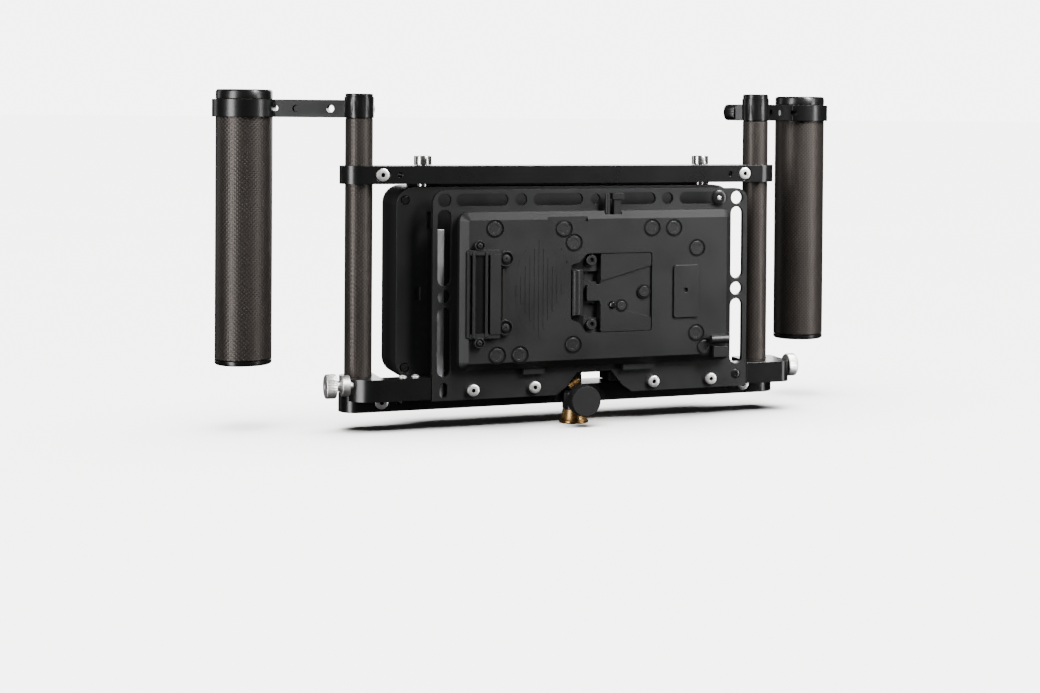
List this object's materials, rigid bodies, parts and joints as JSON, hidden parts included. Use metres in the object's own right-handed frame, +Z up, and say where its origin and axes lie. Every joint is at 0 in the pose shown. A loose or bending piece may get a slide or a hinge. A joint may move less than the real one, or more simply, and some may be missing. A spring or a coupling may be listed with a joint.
{
  "type": "monitor cage",
  "caption": "Field monitor cage with carbon tube posts, clamp bars, swing-out tube handles, slotted rear plate, battery plate and stand adapter.",
  "frame": {"origin": "middle of the stand spigot's flange, on its underside where it stands on the light stand", "axes": "+Z up along the spigot, +X to the right as seen from the battery side, +Y from the battery side towards the screen"},
  "size_m": [0.3777, 0.0981, 0.1856],
  "materials": {
    "carbon_tube": "clear-coated woven carbon fibre",
    "black_anodised": "satin black anodised",
    "bare_aluminium": "brushed",
    "bright_steel": "nickel plated",
    "brass": "turned",
    "monitor_case": "fine texture",
    "screen_glass": "dark, polished",
    "plate_plastic": "moulded, satin",
    "small_plastic": "moulded",
    "pad_rubber": "matt"
  },
  "bodies": {
    "spigot": {"stand_spigot": "brass"},
    "cage": {"left_post": "carbon_tube", "right_post": "carbon_tube", "left_post_insert": "bare_aluminium", "right_post_insert": "bare_aluminium", "left_post_foot": "black_anodised", "right_post_foot": "black_anodised", "left_post_cap": "black_anodised", "right_post_cap": "black_anodised", "top_bar": "black_anodised", "bottom_bar": "black_anodised", "top_bar_screw_left": "bright_steel", "top_bar_screw_right": "bright_steel", "bottom_bar_screw_left": "bright_steel", "bottom_bar_screw_right": "bright_steel", "top_mount_screw_left": "bright_steel", "top_mount_screw_right": "bright_steel", "rest_pad_left": "pad_rubber", "rest_pad_right": "pad_rubber", "left_rear_bracket": "black_anodised", "right_rear_bracket": "black_anodised", "bracket_screw_1": "bright_steel", "bracket_screw_2": "bright_steel", "bracket_screw_3": "bright_steel", "bracket_screw_4": "bright_steel", "slotted_plate": "black_anodised", "edge_strap": "bare_aluminium", "slot_screw": "bright_steel", "battery_plate": "plate_plastic", "lock_wedge": "small_plastic", "contact_block": "small_plastic", "contact_strip": "brass", "connector_cover": "small_plastic", "outlet_block": "small_plastic", "outlet_plug": "small_plastic", "monitor_shell": "monitor_case", "monitor_glass": "screen_glass", "back_screw_lower_left": "black_anodised", "back_screw_upper_left": "black_anodised", "back_screw_lower_right": "black_anodised", "back_screw_upper_right": "black_anodised", "adapter_socket": "black_anodised", "tilt_pin": "brass"},
    "left_arm": {"left_arm": "black_anodised"},
    "right_arm": {"right_arm": "black_anodised"},
    "left_handle": {"left_handle": "carbon_tube", "left_handle_cap": "black_anodised", "left_handle_end": "black_anodised"},
    "right_handle": {"right_handle": "carbon_tube", "right_handle_cap": "black_anodised", "right_handle_end": "black_anodised"},
    "left_arm_knob": {"left_arm_knob": "black_anodised"},
    "right_arm_knob": {"right_arm_knob": "black_anodised"},
    "left_thumbscrew": {"left_thumbscrew": "bright_steel"},
    "right_thumbscrew": {"right_thumbscrew": "bright_steel"},
    "adapter_knob": {"adapter_knob": "black_anodised"},
    "release_lever": {"release_lever": "small_plastic"},
    "latch_pin": {"latch_pin": "bright_steel"},
    "power_button": {"power_button": "small_plastic"},
    "menu_dial": {"menu_dial": "small_plastic"}
  },
  "joints": [
    {"name": "cage_pan", "type": "hinge", "parent": "spigot", "child": "cage", "pos_m": [0, 0, 0], "axis": [0, 0, 1], "continuous": true},
    {"name": "left_arm_swing", "type": "hinge", "parent": "cage", "child": "left_arm", "pos_m": [-0.1185, 0.018, 0.17485], "axis": [0, 0, 1], "range_deg": [-60, 65]},
    {"name": "right_arm_swing", "type": "hinge", "parent": "cage", "child": "right_arm", "pos_m": [0.1185, 0.018, 0.17485], "axis": [0, 0, 1], "range_deg": [-80, 45]},
    {"name": "left_handle_height", "type": "slide", "parent": "left_arm", "child": "left_handle", "axis": [0, 0, 1], "range_m": [0, 0.1]},
    {"name": "right_handle_height", "type": "slide", "parent": "right_arm", "child": "right_handle", "axis": [0, 0, 1], "range_m": [0, 0.1]},
    {"name": "left_arm_knob_turn", "type": "hinge", "parent": "left_arm", "child": "left_arm_knob", "pos_m": [-0.1185, 0.018, 0.17485], "axis": [0.4226, 0.9063, 0], "range_deg": [0, 720]},
    {"name": "right_arm_knob_turn", "type": "hinge", "parent": "right_arm", "child": "right_arm_knob", "pos_m": [0.1185, 0.018, 0.17485], "axis": [-0.6428, 0.766, 0], "range_deg": [0, 720]},
    {"name": "left_thumbscrew_turn", "type": "hinge", "parent": "cage", "child": "left_thumbscrew", "pos_m": [-0.126, 0.0056, 0.0256], "axis": [-1, 0, 0], "range_deg": [0, 720]},
    {"name": "right_thumbscrew_turn", "type": "hinge", "parent": "cage", "child": "right_thumbscrew", "pos_m": [0.1339, 0.0056, 0.0256], "axis": [1, 0, 0], "range_deg": [0, 720]},
    {"name": "adapter_knob_turn", "type": "hinge", "parent": "cage", "child": "adapter_knob", "pos_m": [0, -0.013, 0.0145], "axis": [0, -1, 0], "range_deg": [0, 720]},
    {"name": "release_lever_press", "type": "slide", "parent": "cage", "child": "release_lever", "axis": [0, 0, -1], "range_m": [0, 0.0035], "stiffness_N_per_m": 600, "springref_m": -0.0005},
    {"name": "latch_pin_draw", "type": "slide", "parent": "cage", "child": "latch_pin", "axis": [0, 1, 0], "range_m": [0, 0.0024]},
    {"name": "power_button_press", "type": "slide", "parent": "cage", "child": "power_button", "axis": [0, -1, 0], "range_m": [0, 0.001], "stiffness_N_per_m": 900, "springref_m": -0.0003},
    {"name": "menu_dial_turn", "type": "hinge", "parent": "cage", "child": "menu_dial", "pos_m": [0.0933, 0.0428, 0.066], "axis": [0, 1, 0], "continuous": true}
  ],
  "couplings": [
    {"joint": "latch_pin_draw", "follows": "release_lever_press", "ratio": 0.6857}
  ]
}
